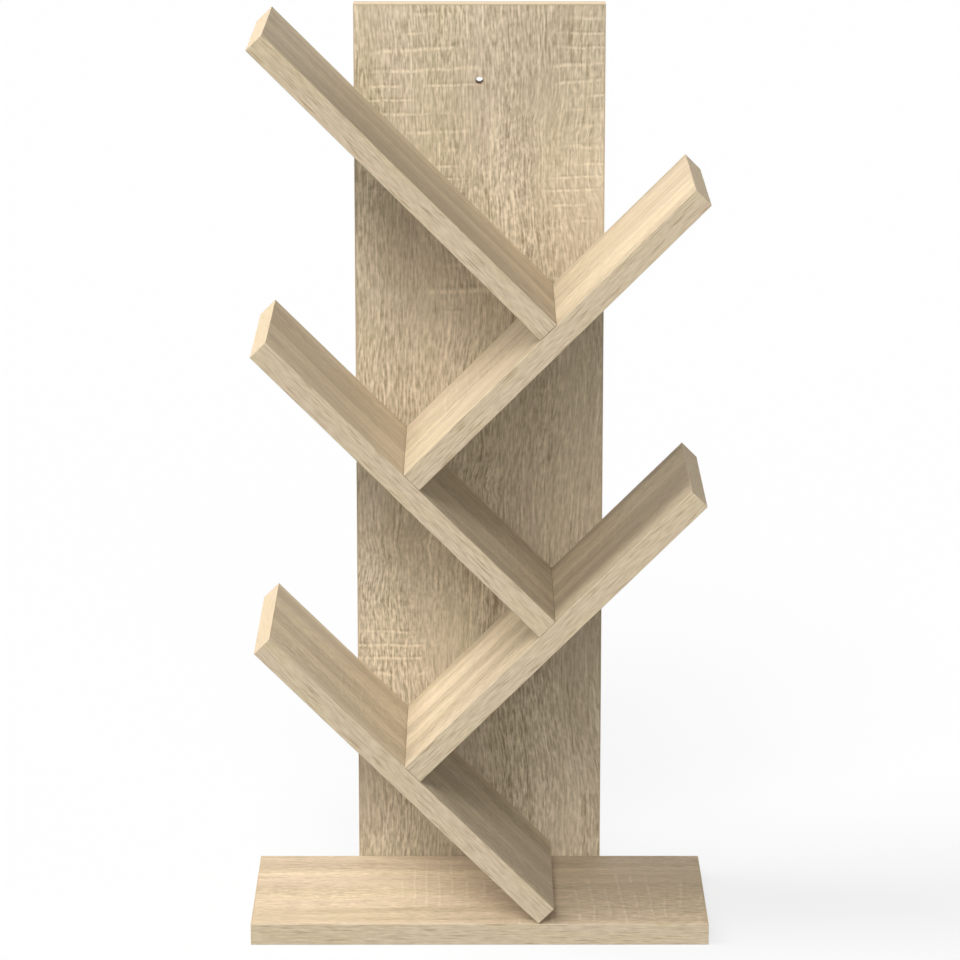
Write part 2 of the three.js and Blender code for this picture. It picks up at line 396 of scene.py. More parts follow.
def saw_marks(tree, place, flow, patch):
    """Masks of the pale rows that cross the grain inside a patch, and of dark rows beside."""
    along = add_node(tree, "ShaderNodeSeparateXYZ", {0: place}).outputs["Y"]
    uneven = centred(tree, noise(tree, place, (2.0, 11.0, 5.0), 1.0, 23.0), UNEVEN_ROWS)
    wobble = centred(tree, noise(tree, place, (50.0, 20.0, 5.0), 1.0, 27.0), WOBBLE)
    rows = added(tree, times(tree, along, SAW_ROWS_PER_METRE), uneven, wobble)
    phase = combine(tree, "FRACT", rows)
    kept = between(tree, noise(tree, place, (26.0, 45.0, 5.0), shift=29.0), 0.40, 0.48)
    crossed = between(tree, noise(tree, flow, (420.0, 30.0, 9.0), shift=31.0), 0.42, 0.54, 0.2)
    pale = times(tree, line_at(tree, phase, PALE_ROW, PALE_ROW_HALF), kept, crossed, patch)
    dark = times(tree, line_at(tree, phase, DARK_ROW, DARK_ROW_HALF), kept, patch)
    return pale, dark


def build_oak():
    inputs = [("Place", PLACE), ("Dark", COLOUR), ("Light", COLOUR), ("Flow", NUMBER),
              ("Curl", NUMBER), ("Bands", NUMBER), ("Streaks", NUMBER), ("Strokes", NUMBER),
              ("Lines", NUMBER), ("Sawn", NUMBER)]
    outputs = [("Colour", COLOUR), ("Roughness", NUMBER), ("Height", NUMBER)]
    tree = new_group("printed oak", inputs, outputs)
    given = add_node(tree, "NodeGroupInput").outputs
    place = given["Place"]
    flow = moved_aside(tree, place, drift(tree, place, FLOW_GRAINS, given["Flow"]),
                       drift(tree, place, CURL_GRAINS, given["Curl"], 41.0))
    pale_rows, dark_rows = saw_marks(tree, place, flow, given["Sawn"])
    tone = added(tree, print_tone(tree, place, flow, given),
                 times(tree, dark_rows, DARK_ROW_TONE), times(tree, given["Sawn"], SAWN_TONE))
    colour = blend_colours(tree, between(tree, tone, 0.0, 1.0), given["Dark"], given["Light"])
    hue = between(tree, noise(tree, flow, HUE_GRAINS, shift=17.0), 0.3, 0.7)
    tint = blend_colours(tree, hue, GREENISH, ROSY)
    colour = blend_colours(tree, 1.0, colour, tint, "MULTIPLY")
    colour = blend_colours(tree, pale_rows, colour, SAWN_COLOUR)
    height = added(tree, tone, pale_rows)
    rough = between(tree, height, 0.0, 1.5, 0.86, 0.72)
    add_node(tree, "NodeGroupOutput", {"Colour": colour, "Roughness": rough, "Height": height})
    return tree


oak = build_oak()
print("oak group has", len(oak.nodes), "nodes")

# %% [markdown]
# Faces, edging and raw board
#
# A material holds the shader and places the oak group with the values of its board. The
# panel shows the print from straight in front, so there the strokes are strongest. The saw
# marks lie in a few patches, and a short table says where: each patch is a soft oval on the
# board. The edging is a thin strip with its own print of fine dashes. The strips on the ends
# and sides get a darker, flatter copy of it, a painted shade that keeps the ends in the strong
# light from the left from washing out. Where a board has been sawn or drilled and nothing
# covers it, the raw chips show.
#
# In the photograph, the corners between the boards are darker but hardly warmer in colour.
# Light that goes from oak to oak would turn orange there, so the boards throw back a less
# saturated colour than the one that is seen.

# %% Make the oak finishes
BUMP_DEPTH = 0.15 * MM
BUMP_STRENGTH = 0.5
DULL_SHEEN = 0.1
BOUNCE_SATURATION = 0.45


def new_material(name):
    material = bpy.data.materials.new(name)
    material.use_nodes = True
    tree = material.node_tree
    tree.nodes.clear()
    place = add_node(tree, "ShaderNodeAttribute", attribute_name="grain").outputs["Vector"]
    return material, tree, place


def calmer_in_bounces(tree, colour):
    """The light that one board throws on the next is less coloured than the board itself."""
    bounced = add_node(tree, "ShaderNodeLightPath").outputs["Is Diffuse Ray"]
    calm = add_node(tree, "ShaderNodeHueSaturation",
                    {"Saturation": BOUNCE_SATURATION, "Color": colour}).outputs[0]
    return blend_colours(tree, bounced, colour, calm)


def finish_with(tree, colour, rough, height, depth, **shader):
    bump = add_node(tree, "ShaderNodeBump", {"Height": height, "Strength": BUMP_STRENGTH,
                                             "Distance": depth}).outputs[0]
    values = {"Base Color": colour, "Roughness": rough, "Normal": bump}
    principled = add_node(tree, "ShaderNodeBsdfPrincipled", values)
    for key, value in shader.items():
        principled.inputs[key.replace("_", " ")].default_value = value
    add_node(tree, "ShaderNodeOutputMaterial", {"Surface": principled.outputs[0]})


def patches_of(tree, place, ovals):
    """One inside the ovals and zero outside, with ragged soft edges."""
    ragged = centred(tree, noise(tree, place, (45.0, 30.0, 9.0), shift=51.0), 1.2)
    inside = 0.0
    for across, along, half_width, half_length in ovals:
        middle = (across * MM, along * MM, 0)
        away = add_node(tree, "ShaderNodeVectorMath", {0: place, 1: middle},
                        operation="SUBTRACT").outputs[0]
        shares = (1 / (half_width * MM), 1 / (half_length * MM), 0)
        scaled = add_node(tree, "ShaderNodeVectorMath", {0: away, 1: shares},
                          operation="MULTIPLY").outputs[0]
        reach = add_node(tree, "ShaderNodeVectorMath", {0: scaled},
                         operation="LENGTH").outputs["Value"]
        oval = between(tree, added(tree, reach, ragged), 0.75, 1.15, 1.0, 0.0)
        inside = combine(tree, "MAXIMUM", inside, oval)
    return inside


def oak_face(name, dark, light, saw_patches, curl_patches=(), **strengths):
    material, tree, place = new_material(name)
    values = {"Place": place, "Dark": dark, "Light": light, **strengths}
    values["Sawn"] = times(tree, patches_of(tree, place, saw_patches), strengths["Sawn"])
    if curl_patches:
        values["Curl"] = times(tree, patches_of(tree, place, curl_patches), strengths["Curl"])
    print_on = add_node(tree, "ShaderNodeGroup", values, node_tree=oak).outputs
    colour = calmer_in_bounces(tree, print_on["Colour"])
    finish_with(tree, colour, print_on["Roughness"], print_on["Height"],
                BUMP_DEPTH, Specular_IOR_Level=DULL_SHEEN)
    return material


# middle across and along the grain, half width and half length, in mm on the board
PANEL_SAW_PATCHES = [(-50, 715, 50, 95), (95, 745, 28, 55), (90, 645, 32, 35),
                     (-22, 548, 28, 20), (-85, 190, 35, 60)]
PANEL_CURL_PATCHES = [(45, 645, 60, 65), (-5, 370, 25, 35), (-75, 260, 50, 70)]
SHELF_SAW_PATCHES = [(-20, -225, 55, 40), (20, 330, 45, 45)]
BASE_SAW_PATCHES = [(-30, 140, 70, 60), (-90, 120, 25, 90), (0, -30, 60, 40)]

panel_oak = oak_face("panel oak", (0.364, 0.284, 0.180, 1), (0.848, 0.717, 0.524, 1),
                     PANEL_SAW_PATCHES, PANEL_CURL_PATCHES, Flow=0.040, Curl=0.024,
                     Bands=0.03, Streaks=0.39, Strokes=1.0, Lines=1.0, Sawn=0.8)
shelf_oak = oak_face("shelf oak", (0.371, 0.286, 0.189, 1), (0.848, 0.700, 0.483, 1),
                     SHELF_SAW_PATCHES, Flow=0.030, Curl=0.008,
                     Bands=0.09, Streaks=0.50, Strokes=0.5, Lines=0.4, Sawn=0.2)
base_oak = oak_face("base oak", (0.352, 0.263, 0.169, 1), (0.807, 0.640, 0.443, 1),
                    BASE_SAW_PATCHES, Flow=0.030, Curl=0.008,
                    Bands=0.06, Streaks=0.60, Strokes=0.55, Lines=0.6, Sawn=0.35)

# %% Make the edging, raw board, zinc and beech
EDGING_SLANT = 0.012
EDGING_DRIFT = 0.005
EDGING_DARK = (0.498, 0.362, 0.225, 1)
EDGING_LIGHT = (0.872, 0.748, 0.552, 1)
YELLOWISH = (0.995, 1.003, 0.95, 1.0)
CHIPS_PER_METRE = 420.0
CHIP_PALE = (0.55, 0.40, 0.25, 1)
CHIP_DARK = (0.24, 0.16, 0.09, 1)
ZINC_DARK = (0.52, 0.53, 0.55, 1)
ZINC_PALE = (0.72, 0.73, 0.74, 1)
# A darker zinc for the inside of a screw's socket: painted shade where little light reaches
SOCKET_SHADE_DARK = (0.09, 0.09, 0.10, 1)
SOCKET_SHADE_PALE = (0.16, 0.16, 0.17, 1)
BEECH_DARK = (0.47, 0.29, 0.16, 1)
BEECH_PALE = (0.72, 0.51, 0.32, 1)


def edging_finish(name, contrast, level):
    material, tree, place = new_material(name)
    along = add_node(tree, "ShaderNodeSeparateXYZ", {0: place}).outputs["Y"]
    flow = moved_aside(tree, place, drift(tree, place, (9.0, 7.0, 9.0), EDGING_DRIFT),
                       times(tree, along, EDGING_SLANT))
    fine = between(tree, noise(tree, flow, (600.0, 80.0, 60.0), 3.0), 0.36, 0.64, -0.15, 0.15)
    soft = centred(tree, noise(tree, flow, (150.0, 12.0, 20.0), shift=5.0), 0.18)
    thin = noise(tree, flow, (750.0, 36.0, 30.0), 4.0, 43.0)
    dashes = between(tree, thin, 0.55, 0.65, 0.07, -0.38)
    tone = added(tree, times(tree, added(tree, fine, soft, dashes), contrast), level)
    colour = blend_colours(tree, between(tree, tone, 0.0, 1.0), EDGING_DARK, EDGING_LIGHT)
    hue = between(tree, noise(tree, flow, (80.0, 14.0, 15.0), shift=17.0), 0.35, 0.65)
    tint = blend_colours(tree, hue, YELLOWISH, (1.005, 0.995, 1.01, 1.0))
    colour = blend_colours(tree, 1.0, colour, tint, "MULTIPLY")
    rough = between(tree, tone, 0.0, 1.0, 0.84, 0.70)
    finish_with(tree, calmer_in_bounces(tree, colour), rough, tone, BUMP_DEPTH / 2,
                Specular_IOR_Level=DULL_SHEEN)
    return material


def raw_board_finish():
    material, tree, place = new_material("raw chipboard")
    chips = add_node(tree, "ShaderNodeTexVoronoi",
                     {"Vector": place, "Scale": CHIPS_PER_METRE}).outputs
    dust = noise(tree, place, (900.0, 900.0, 900.0))
    tone = added(tree, centred(tree, dust, 0.8), chips["Distance"])
    colour = blend_colours(tree, between(tree, tone, 0.1, 1.0), CHIP_PALE, CHIP_DARK)
    finish_with(tree, colour, between(tree, tone, 0.0, 1.0, 0.95, 0.8), tone, BUMP_DEPTH)
    return material


def zinc_finish(name, dark, pale):
    material, tree, place = new_material(name)
    cloud = noise(tree, place, (300.0, 300.0, 300.0), detail=4.0)
    scuff = noise(tree, place, (2500.0, 400.0, 2500.0), shift=3.0)
    colour = blend_colours(tree, between(tree, cloud, 0.35, 0.65), dark, pale)
    rough = between(tree, added(tree, cloud, scuff), 0.7, 1.3, 0.22, 0.42)
    finish_with(tree, colour, rough, scuff, BUMP_DEPTH / 10, Metallic=1.0)
    return material


def beech_finish():
    material, tree, place = new_material("beech")
    rays = noise(tree, place, (700.0, 90.0, 700.0))
    slow = noise(tree, place, (120.0, 12.0, 120.0), shift=9.0)
    tone = added(tree, centred(tree, rays, 0.9), slow)
    colour = blend_colours(tree, between(tree, tone, 0.2, 0.8), BEECH_DARK, BEECH_PALE)
    finish_with(tree, colour, between(tree, tone, 0.2, 0.8, 0.75, 0.6), tone, BUMP_DEPTH)
    return material


edging = edging_finish("oak edging", 1.0, 0.56)
# A darker, flatter copy of the edging for the end and side strips: painted shade against the
# strong left light
edging_with_painted_shade = edging_finish("calm oak edging", 0.3, 0.455)
raw_board = raw_board_finish()
zinc = zinc_finish("zinc plate", ZINC_DARK, ZINC_PALE)
# The inside of each socket gets a darker zinc, a painted shade
zinc_with_painted_socket_shade = zinc_finish("zinc in the socket", SOCKET_SHADE_DARK, SOCKET_SHADE_PALE)
beech = beech_finish()
print("finishes:", [m.name for m in bpy.data.materials if m.node_tree])

# %% [markdown]
# Where each piece stands
#
# The frame gives every piece its place. A leaning shelf is easiest to measure in its own
# frame, which is turned 45 degrees about the depth of the bookshelf: there it is a plain
# level board again. One function measures a node in such a turned frame, and everything
# that belongs to a shelf uses the shelf's turn.

# %% Measure the nodes in their boards' own frames
LEAN = math.radians(45)
LEVEL = Matrix.Identity(3)
SIDES = {"left": -1, "right": 1}
SHELVES = ["shelf_left_bottom", "shelf_right_bottom", "shelf_left_middle",
           "shelf_right_top", "shelf_left_top"]


def side_of(shelf):
    return SIDES[shelf.split("_")[1]]


def turn_of(shelf):
    return Matrix.Rotation(-side_of(shelf) * LEAN, 3, "Y")


def own_box(node, turn):
    """Lowest and highest corner of a node in a frame with that turn."""
    back = turn.inverted()
    corners = [back @ vertex.co for vertex in nodes[node].data.vertices]
    low = Vector([min(values) for values in zip(*corners)])
    high = Vector([max(values) for values in zip(*corners)])
    return low, high


low, high = own_box(SHELVES[0], turn_of(SHELVES[0]))
print("a shelf's board measures", [round(side / MM, 1) for side in high - low], "mm")

# %% [markdown]
# Turned tools and turned pieces
#
# A screw, a dowel and the drill that makes room for them are all round, so each is an
# outline turned about its middle. Spinning half an outline and merging the first and last
# step gives a closed shape. The outlines stand along Y, as most of the fixings do, and each
# one is then set at its own place.

# %% Spin an outline into a solid
ROUND_STEPS = 40
MERGE = 0.001 * MM


def spin_outline(outline, steps=ROUND_STEPS):
    """A closed solid from points (radius, along Y) that start and end on the middle line."""
    shape = bmesh.new()
    points = [shape.verts.new((radius, along, 0)) for radius, along in outline]
    edges = [shape.edges.new(pair) for pair in zip(points, points[1:])]
    bmesh.ops.spin(shape, geom=points + edges, cent=(0, 0, 0), axis=(0, 1, 0),
                   angle=2 * math.pi, steps=steps, use_merge=True)
    bmesh.ops.remove_doubles(shape, verts=shape.verts, dist=MERGE)
    bmesh.ops.recalc_face_normals(shape, faces=shape.faces)
    return shape


def mesh_of(shape, name):
    mesh = bpy.data.meshes.new(name)
    shape.to_mesh(mesh)
    shape.free()
    return mesh


# %% [markdown]
# Holes
#
# The boards are drilled for the screws and dowels, and the panel for the screw that holds
# the bookshelf to a wall. Each drill is a spun outline a little larger than its fixing. All
# the drills of one board are joined into one tool and taken out of the board in a single
# cut, which is quicker than one cut for each hole. The cut is a Boolean modifier whose
# result is kept as the new mesh.

# %% Make the drills
SCREW_HEAD = 3.6 * MM
SCREW_RIM = 0.6 * MM
SCREW_COLLAR = 3.5 * MM
SCREW_COLLAR_LENGTH = 15 * MM
SCREW_CREST = 3 * MM
SCREW_TIP = 1.2 * MM
SCREW_TIP_LENGTH = 4 * MM
CLEARANCE = 0.3 * MM
BREAKTHROUGH = 2 * MM
HOLE_RADIUS = 3.25 * MM
HOLE_DROP = 67 * MM
HOLE_ARRIS = 0.25 * MM
DOWEL_ROOM = 1.5 * MM

first_screw = own_box("base_back_screw_2", LEVEL)
SCREW_LENGTH = first_screw[1].y - first_screw[0].y
SCREW_HEAD_RADIUS = (first_screw[1].x - first_screw[0].x) / 2
first_dowel = own_box("base_dowel_1", LEVEL)
DOWEL_LENGTH = first_dowel[1].y - first_dowel[0].y
DOWEL_RADIUS = (first_dowel[1].x - first_dowel[0].x) / 2


def screw_drill():
    grown = CLEARANCE
    return spin_outline([
        (0, -SCREW_LENGTH - grown),
        (SCREW_TIP + grown, -SCREW_LENGTH - grown),
        (SCREW_CREST + grown, SCREW_TIP_LENGTH - SCREW_LENGTH),
        (SCREW_CREST + grown, -SCREW_COLLAR_LENGTH - grown),
        (SCREW_COLLAR + grown, -SCREW_COLLAR_LENGTH - grown),
        (SCREW_COLLAR + grown, -SCREW_HEAD),
        (SCREW_HEAD_RADIUS + grown, -SCREW_RIM),
        (SCREW_HEAD_RADIUS + grown, BREAKTHROUGH),
        (0, BREAKTHROUGH),
    ])


def dowel_drill():
    half = DOWEL_LENGTH / 2 + DOWEL_ROOM
    radius = DOWEL_RADIUS + CLEARANCE
    return spin_outline([(0, -half), (radius, -half), (radius, half), (0, half)])


def wall_hole_drill(thickness):
    """A drill for the wall screw's hole, which breaks the sharp edge at both faces."""
    half = thickness / 2
    past = half + BREAKTHROUGH
    wide = HOLE_RADIUS + HOLE_ARRIS + BREAKTHROUGH
    return spin_outline([
        (0, -past), (wide, -past), (HOLE_RADIUS, HOLE_ARRIS - half),
        (HOLE_RADIUS, half - HOLE_ARRIS), (wide, past), (0, past),
    ])


print("screw", round(SCREW_LENGTH / MM, 1), "mm, dowel", round(DOWEL_LENGTH / MM, 1), "mm")

# %% Find where the fixings stand
def screw_place(node, turn=LEVEL, about_z=0.0):
    """The screw's own frame: the middle of its head's face, with its tip towards -Y."""
    turned = turn @ Matrix.Rotation(about_z, 3, "Z")
    low, high = own_box(node, turned)
    middle = (low + high) / 2
    head = turned @ Vector((middle.x, high.y, middle.z))
    return Matrix.Translation(head) @ turned.to_4x4()


def dowel_place(node):
    low, high = own_box(node, LEVEL)
    return Matrix.Translation((low + high) / 2)


def named(start):
    return sorted(name for name in nodes if name.startswith(start))


screw_places = {name: screw_place(name) for name in nodes if "_back_screw_" in name}
for shelf in SHELVES:
    for name in named(shelf + "_toe_screw_"):
        quarter = side_of(shelf) * math.pi / 2
        screw_places[name] = screw_place(name, turn_of(shelf), quarter)
dowel_places = {name: dowel_place(name) for name in nodes if "_dowel_" in name}
print(len(screw_places), "screws and", len(dowel_places), "dowels")

# %% Cut the holes of one board
def drills_at(screws, dowels):
    """The drills for these screws and dowels, each at its place."""
    drills = [(screw_drill(), screw_places[name]) for name in screws]
    return drills + [(dowel_drill(), dowel_places[name]) for name in dowels]


def joined(drills):
    tool = bmesh.new()
    for shape, place in drills:
        shape.transform(place)
        single = mesh_of(shape, "drill")
        tool.from_mesh(single)
        bpy.data.meshes.remove(single)
    return mesh_of(tool, "drills")


def cut_out(mesh, tool_mesh):
    """The mesh with the tool taken out of it."""
    body = bpy.data.objects.new("body", mesh)
    tool = bpy.data.objects.new("tool", tool_mesh)
    for item in (body, tool):
        bpy.context.collection.objects.link(item)
    cut = body.modifiers.new("cut", "BOOLEAN")
    cut.operation = "DIFFERENCE"
    cut.solver = "EXACT"
    cut.object = tool
    bpy.context.view_layer.update()
    ready = body.evaluated_get(bpy.context.evaluated_depsgraph_get())
    result = bpy.data.meshes.new_from_object(ready)
    for item in (body, tool):
        bpy.data.objects.remove(item)
    return result


# %% [markdown]
# Blocks with soft edges
#
# A board and a strip of edging both start as a cube that is scaled to the measured size.
# A real board never has knife edges: the faces end in a tiny bevel, and the edging is
# rounded where it was trimmed flush. Bevelling those edges gives each its thin line of
# light, and the small groove between face and edging shows as it does on the real board.

# %% Make a block and lay the grain on it
BOARD_ARRIS = 0.12 * MM
TOE_ARRIS = 0.35 * MM
EDGING_RADIUS = 0.35 * MM
ARRIS_STEPS = 2
EDGING_STEPS = 4
PRINT_DEPTH = 0.9


def block(low, high):
    shape = bmesh.new()
    bmesh.ops.create_cube(shape, size=1.0)
    bmesh.ops.scale(shape, vec=high - low, verts=shape.verts)
    bmesh.ops.translate(shape, vec=(high + low) / 2, verts=shape.verts)
    return shape


def soften(shape, edges, radius, segments):
    bmesh.ops.bevel(shape, geom=edges, offset=radius, offset_type="OFFSET",
                    segments=segments, profile=0.5, affect="EDGES", material=-1,
                    clamp_overlap=True)


def edges_on(shape, axis, at):
    """The edges that lie in the plane where that axis has that value."""
    return [edge for edge in shape.edges
            if all(abs(vert.co[axis] - at) < MERGE for vert in edge.verts)]


def lay_grain(mesh, turn, axes, start):
    """Writes each point's place across, along and through the grain, in metres."""
    back = turn.inverted()
    grain = mesh.attributes.new("grain", "FLOAT_VECTOR", "POINT")
    for vertex, place in zip(mesh.vertices, grain.data):
        own = back @ vertex.co
        place.vector = Vector([own[axis] for axis in axes]) + start


def start_of(number):
    """Each piece starts at its own depth, so that no two show the same stretch of print."""
    return Vector((0, 0, PRINT_DEPTH)) * number


# %% Turn a mesh into a finished piece
SHARP_FROM = math.radians(35)


def finished(name, mesh, replaced):
    piece = bpy.data.objects.new(name, mesh)
    bpy.context.collection.objects.link(piece)
    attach(piece, "root")
    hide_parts(replaced)
    return piece


def smooth_round_parts(mesh, is_round):
    for polygon in mesh.polygons:
        polygon.use_smooth = is_round(polygon)
    mesh.set_sharp_from_angle(angle=SHARP_FROM)


# %% [markdown]
# The boards
#
# Each board is a block with its holes cut out. Its two faces carry the oak print and the
# rest is raw board, which shows only inside the holes and at the shelf ends. Choosing the
# material by a face's place and direction is simpler here than painting, because every
# face of a board is flat. The order of the axes says how the print lies: across, along and
# through the board.

# %% Build the boards
ACROSS_Y_ALONG_X = (1, 0, 2)
ACROSS_X_ALONG_Z = (0, 2, 1)
NEARLY = 0.02 * MM
NEARLY_STRAIGHT = 0.99
FIRST_SHELF_NUMBER = 2


def assign_faces(mesh, turn, through, low, high):
    back = turn.inverted()
    for polygon in mesh.polygons:
        middle = back @ polygon.center
        facing = abs((back @ polygon.normal)[through]) > NEARLY_STRAIGHT
        outside = min(abs(middle[through] - low[through]), abs(middle[through] - high[through]))
        polygon.material_index = 0 if facing and outside < NEARLY else 1


def build_board(node, turn, axes, oak_finish, drills, number, toe_side=0):
    low, high = own_box(node, turn)
    shape = block(low, high)
    if toe_side:
        toe = low.x if toe_side > 0 else high.x
        soften(shape, edges_on(shape, 0, toe), TOE_ARRIS, ARRIS_STEPS)
    else:
        soften(shape, shape.edges[:], BOARD_ARRIS, ARRIS_STEPS)
    shape.transform(turn.to_4x4())
    mesh = cut_out(mesh_of(shape, node), joined(drills))
    for finish in (oak_finish, raw_board):
        mesh.materials.append(finish)
    assign_faces(mesh, turn, axes[2], low, high)
    smooth_round_parts(mesh, lambda polygon: polygon.material_index == 1)
    lay_grain(mesh, turn, axes, start_of(number))
    return finished(node + "_faced", mesh, node)


def shelf_drills(shelf):
    """The drills of a shelf: its back edge, its toe, and the toe of the shelf above it."""
    level = SHELVES.index(shelf)
    above = SHELVES[level + 1:level + 2]
    screws = named(shelf + "_back_screw_") + named(shelf + "_toe_screw_")
    for upper in above:
        screws += named(upper + "_toe_screw_")
    return drills_at(screws, named(shelf + "_dowel_"))


def panel_drills():
    low, high = own_box("back_panel", LEVEL)
    hole = Vector((0, (low.y + high.y) / 2, cad_box[1].z - HOLE_DROP))
    drills = drills_at([name for name in screw_places if "_back_screw_" in name], dowel_places)
    return drills + [(wall_hole_drill(high.y - low.y), Matrix.Translation(hole))]


build_board("back_panel", LEVEL, ACROSS_X_ALONG_Z, panel_oak, panel_drills(), 0)
base_drills = drills_at(named("base_back_screw_"), named("base_dowel_"))
build_board("base_board", LEVEL, ACROSS_Y_ALONG_X, base_oak, base_drills, 1)
for level, shelf in enumerate(SHELVES):
    toe_side = side_of(shelf) if level else 0
    build_board(shelf, turn_of(shelf), ACROSS_Y_ALONG_X, shelf_oak, shelf_drills(shelf),
                FIRST_SHELF_NUMBER + level, toe_side)

# %% [markdown]
# The edging
#
# A strip of edging is glued to every edge that shows, and trimmed flush with a small round.
# Each strip is a block whose outer edges are bevelled. Which side is the outer one follows
# from the strip's name, so one table gives that side and how the print runs along it.

# %% Build the edging
X, Y, Z = 0, 1, 2
FIRST_STRIP_NUMBER = 10
# kind of strip: outer axis, outer sign, print axes across, along and through
STRIPS = {
    "front_band": (Y, -1, (Z, X, Y)),
    "back_band": (Y, 1, (Z, X, Y)),
    "left_band": (X, -1, (Z, Y, X)),
    "right_band": (X, 1, (Z, Y, X)),
    "panel_left_band": (X, -1, (Y, Z, X)),
    "panel_right_band": (X, 1, (Y, Z, X)),
    "panel_top_band": (Z, 1, (Y, X, Z)),
}


def strip_kind(node, side):
    """The strip's outer axis and sign and its print axes."""
    if node in STRIPS:
        return STRIPS[node]
    kind = "_".join(node.split("_")[-2:])
    if kind == "end_band":
        return (X, side, (Z, Y, X))
    if kind == "toe_band":
        return (X, -side, (Z, Y, X))
    return STRIPS[kind]


def build_strip(node, turn, side, number, drills=()):
    low, high = own_box(node, turn)
    axis, sign, axes = strip_kind(node, side)
    outer = high[axis] if sign > 0 else low[axis]
    shape = block(low, high)
    soften(shape, edges_on(shape, axis, outer), EDGING_RADIUS, EDGING_STEPS)
    shape.transform(turn.to_4x4())
    mesh = mesh_of(shape, node)
    if drills:
        mesh = cut_out(mesh, joined(drills))
    # Front and back strips get the plain edging, and all others get the copy with painted shade
    mesh.materials.append(edging if axis == Y else edging_with_painted_shade)
    lay_grain(mesh, turn, axes, start_of(number))
    return finished(node + "_trimmed", mesh, node)


def back_drills(board, kind):
    wanted = kind.endswith("_back_band")
    return drills_at(named(board + "_back_screw_"), named(board + "_dowel_")) if wanted else ()


strips = [name for name in nodes if name.endswith("_band")]
for number, node in enumerate(sorted(strips)):
    shelf = next((s for s in SHELVES if node.startswith(s)), None)
    board = shelf or "base"
    turn = turn_of(shelf) if shelf else LEVEL
    build_strip(node, turn, side_of(shelf) if shelf else 0, FIRST_STRIP_NUMBER + number,
                back_drills(board, node))
print(len(strips), "strips of edging")

# %% [markdown]
# The screws
#
# The joints are held by furniture screws: a flat countersunk head with a hexagonal socket,
# a plain collar and a coarse thread. Only the heads show, at the back and under the
# shelves, but each screw is whole. The thread is spun as a plain shank with many rings, and
# every ring is then pushed out or in by where it lies on the helix. That keeps one closed
# skin, where a separate coil would lie half inside the shank. Little light reaches the inside
# of a socket, so its faces get a darker zinc, a painted shade.

# %% Shape one screw
SCREW_ROOT = 2.1 * MM
THREAD_PITCH = 3 * MM
THREAD_RING = 0.5 * MM
SOCKET_ACROSS = 4 * MM
SOCKET_CORNER = SOCKET_ACROSS / math.sqrt(3)
SOCKET_DEPTH = 2.8 * MM
SOCKET_TURN = math.radians(5)
HEAD_CHAMFER = 0.25 * MM
SCREW_STEPS = 36


def screw_outline():
    thread_end = SCREW_TIP_LENGTH - SCREW_LENGTH
    rings = int((-SCREW_COLLAR_LENGTH - thread_end) / THREAD_RING)
    thread = [(SCREW_CREST, thread_end + THREAD_RING * ring) for ring in range(rings)]
    return [
        (0, -SCREW_LENGTH),
        (SCREW_TIP / 2, -SCREW_LENGTH),
        *thread,
        (SCREW_ROOT, -SCREW_COLLAR_LENGTH),
        (SCREW_COLLAR - HEAD_CHAMFER, -SCREW_COLLAR_LENGTH),
        (SCREW_COLLAR, HEAD_CHAMFER - SCREW_COLLAR_LENGTH),
        (SCREW_COLLAR, -SCREW_HEAD),
        (SCREW_HEAD_RADIUS, -SCREW_RIM),
        (SCREW_HEAD_RADIUS, -HEAD_CHAMFER),
        (SCREW_HEAD_RADIUS - HEAD_CHAMFER, 0),
        (0, 0),
    ]


def wind_thread(shape):
    """Pushes the shank's points out to the crest or in to the root along a helix."""
    for vertex in shape.verts:
        radius = math.hypot(vertex.co.x, vertex.co.z)
        if abs(radius - SCREW_CREST) > MERGE:
            continue
        turns = math.atan2(vertex.co.z, vertex.co.x) / (2 * math.pi)
        phase = (vertex.co.y / THREAD_PITCH + turns) % 1
        rise = max(0.0, 1 - abs(2 * phase - 1) * 2)
        wanted = SCREW_ROOT + (SCREW_CREST - SCREW_ROOT) * rise
        vertex.co.x *= wanted / radius
        vertex.co.z *= wanted / radius


def socket_tool():
    shape = bmesh.new()
    depth = SOCKET_DEPTH + BREAKTHROUGH
    bmesh.ops.create_cone(shape, cap_ends=True, segments=6, radius1=SOCKET_CORNER,
                          radius2=SOCKET_CORNER, depth=depth)
    upright = Matrix.Rotation(math.pi / 2, 3, "X") @ Matrix.Rotation(SOCKET_TURN, 3, "Z")
    bmesh.ops.rotate(shape, cent=(0, 0, 0), matrix=upright, verts=shape.verts)
    bmesh.ops.translate(shape, vec=(0, depth / 2 - SOCKET_DEPTH, 0), verts=shape.verts)
    return mesh_of(shape, "socket")


def shape_screw():
    shape = spin_outline(screw_outline(), SCREW_STEPS)
    wind_thread(shape)
    mesh = cut_out(mesh_of(shape, "screw"), socket_tool())
    # Faces inside the socket take the second finish, the darker zinc with painted shade
    for polygon in mesh.polygons:
        middle = polygon.center
        sunk = -SOCKET_DEPTH - MERGE < middle.y < -MERGE
        inside = math.hypot(middle.x, middle.z) < SOCKET_CORNER
        polygon.material_index = 1 if sunk and inside else 0
    return mesh


screw_mesh = shape_screw()
print("a screw has", len(screw_mesh.polygons), "faces")

# %% Drive the screws
def build_fixing(node, pattern, place, finishes, suffix, number):
    mesh = pattern.copy()
    mesh.name = node
    lay_grain(mesh, LEVEL, (X, Y, Z), start_of(number))
    mesh.transform(place)
    for finish in finishes:
        mesh.materials.append(finish)
    smooth_round_parts(mesh, lambda polygon: True)
    return finished(node + suffix, mesh, node)


for number, (node, place) in enumerate(sorted(screw_places.items())):
    build_fixing(node, screw_mesh, place, (zinc, zinc_with_painted_socket_shade), "_driven", number)
print(len(screw_places), "screws driven")

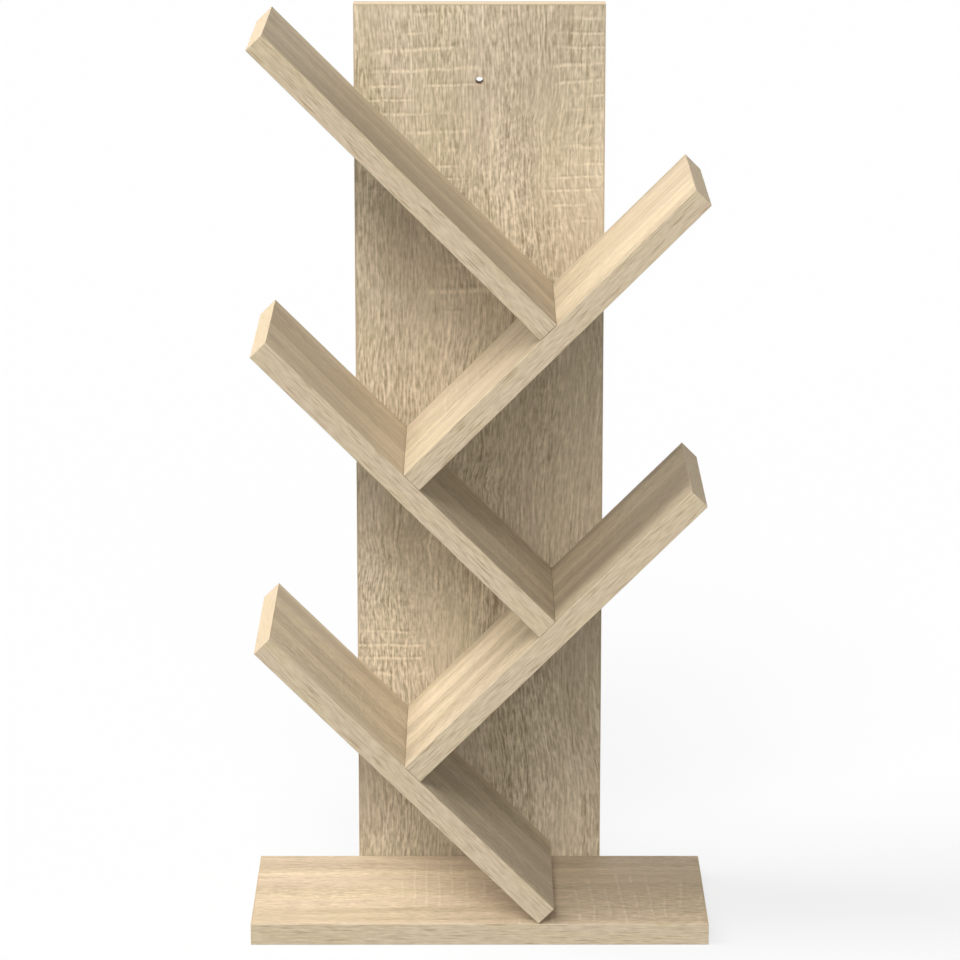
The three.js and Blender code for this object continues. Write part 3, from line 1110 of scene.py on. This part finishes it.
# %% [markdown]
# The dowels
#
# A beech dowel lines each board up with the panel while the screws pull it tight. Its
# flutes let the glue spread. The dowel is a disc with every fourth rim point drawn in,
# extruded to its length, with both ends narrowed to a chamfer. The extrusion leaves each old
# cap in place, which is right at the start, but the later ones would be walls inside the
# dowel, so they are deleted.

# %% Shape and set the dowels
FLUTES = 20
POINTS_PER_FLUTE = 4
FLUTE_DEPTH = 0.35 * MM
DOWEL_CHAMFER = 0.8 * MM


def shape_dowel():
    shape = bmesh.new()
    bmesh.ops.create_circle(shape, cap_ends=True, segments=FLUTES * POINTS_PER_FLUTE,
                            radius=DOWEL_RADIUS)
    rim = sorted(shape.verts, key=lambda vertex: math.atan2(vertex.co.y, vertex.co.x))
    drawn = 1 - FLUTE_DEPTH / DOWEL_RADIUS
    for vertex in rim[::POINTS_PER_FLUTE]:
        vertex.co.xy = vertex.co.xy * drawn
    levels = [DOWEL_CHAMFER, DOWEL_LENGTH - 2 * DOWEL_CHAMFER, DOWEL_CHAMFER]
    narrow = 1 - DOWEL_CHAMFER / DOWEL_RADIUS
    bmesh.ops.scale(shape, vec=(narrow, narrow, 1), verts=shape.verts)
    first_cap = shape.faces[:]
    cap = first_cap
    for step, widen in zip(levels, (1 / narrow, 1, narrow)):
        made = bmesh.ops.extrude_face_region(shape, geom=cap)["geom"]
        if cap is not first_cap:
            bmesh.ops.delete(shape, geom=cap, context="FACES_ONLY")
        moved = [item for item in made if isinstance(item, bmesh.types.BMVert)]
        cap = [item for item in made if isinstance(item, bmesh.types.BMFace)]
        bmesh.ops.translate(shape, vec=(0, 0, step), verts=moved)
        bmesh.ops.scale(shape, vec=(widen, widen, 1), verts=moved)
    bmesh.ops.translate(shape, vec=(0, 0, -DOWEL_LENGTH / 2), verts=shape.verts)
    bmesh.ops.rotate(shape, cent=(0, 0, 0), matrix=Matrix.Rotation(math.pi / 2, 3, "X"),
                     verts=shape.verts)
    bmesh.ops.recalc_face_normals(shape, faces=shape.faces)
    return mesh_of(shape, "dowel")


dowel_mesh = shape_dowel()
for number, (node, place) in enumerate(sorted(dowel_places.items())):
    build_fixing(node, dowel_mesh, place, (beech,), "_fluted", number)
print(len(dowel_places), "dowels set")
